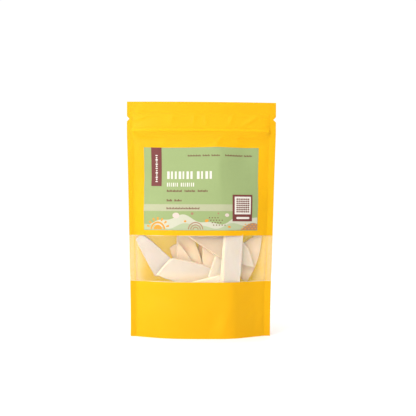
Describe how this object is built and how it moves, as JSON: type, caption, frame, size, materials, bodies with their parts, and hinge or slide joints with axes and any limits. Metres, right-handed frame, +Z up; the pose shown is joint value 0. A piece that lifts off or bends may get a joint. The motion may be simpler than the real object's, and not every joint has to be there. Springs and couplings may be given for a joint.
{
  "type": "stand-up pouch of dried chinese yam slices",
  "caption": "Sealed stand-up pouch with a press-to-close zip, tear notches, a clear window strip and a paper label, filled with dried slices of Chinese yam.",
  "frame": {"origin": "on the surface the pouch stands on, under the middle of its base", "axes": "+Z up, +X towards the right side seal as seen from the front, and the label faces -Y"},
  "size_m": [0.131, 0.0362, 0.2045],
  "materials": {
    "yellow_film": "satin",
    "clear_film": "satin",
    "zip_plastic": "satin",
    "label_paper": "matte",
    "dried_yam": "matte"
  },
  "bodies": {
    "root": {"front_film_upper": "yellow_film", "window_film": "clear_film", "front_film_lower": "yellow_film", "back_film": "yellow_film", "gusset_film": "yellow_film", "zip_groove_strip": "zip_plastic", "zip_rib_strip": "zip_plastic", "front_label": "label_paper", "yam_slice_01": "dried_yam", "yam_slice_02": "dried_yam", "yam_slice_03": "dried_yam", "yam_slice_04": "dried_yam", "yam_slice_05": "dried_yam", "yam_slice_06": "dried_yam", "yam_slice_07": "dried_yam", "yam_slice_08": "dried_yam", "yam_slice_09": "dried_yam", "yam_slice_10": "dried_yam", "yam_slice_11": "dried_yam", "yam_slice_12": "dried_yam", "yam_slice_13": "dried_yam", "yam_slice_14": "dried_yam", "yam_slice_15": "dried_yam", "yam_slice_16": "dried_yam"}
  },
  "joints": []
}
